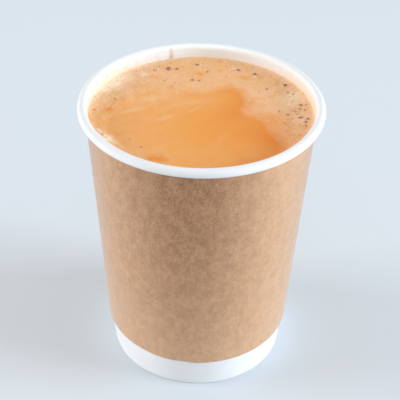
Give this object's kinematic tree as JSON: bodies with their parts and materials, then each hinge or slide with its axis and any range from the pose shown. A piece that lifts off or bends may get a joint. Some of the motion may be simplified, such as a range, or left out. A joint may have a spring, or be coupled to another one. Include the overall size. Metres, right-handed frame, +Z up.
{
  "type": "masala chai in a paper cup",
  "caption": "Insulated takeaway paper cup with a rolled white rim and a brown kraft wrap, filled nearly to the brim with milky masala chai under a ring of froth.",
  "frame": {"origin": "middle of the foot's underside, on the surface that the cup stands on", "axes": "+Z up along the cup's axis; +Y points to the back of the cup as pictured, where the froth is broadest, and +X to its right"},
  "size_m": [0.09, 0.09, 0.11],
  "materials": {
    "white_paper": "coated, smooth, satin",
    "kraft_paper": "uncoated brown kraft, matt, with short darker fibres",
    "chai": "wet, smooth, opaque milky liquid",
    "froth": "fine foam, satin, paler than the drink"
  },
  "bodies": {
    "root": {"cup_sidewall": "white_paper", "cup_bottom": "white_paper", "kraft_wrap": "kraft_paper", "chai": "chai", "froth": "froth"}
  },
  "joints": []
}
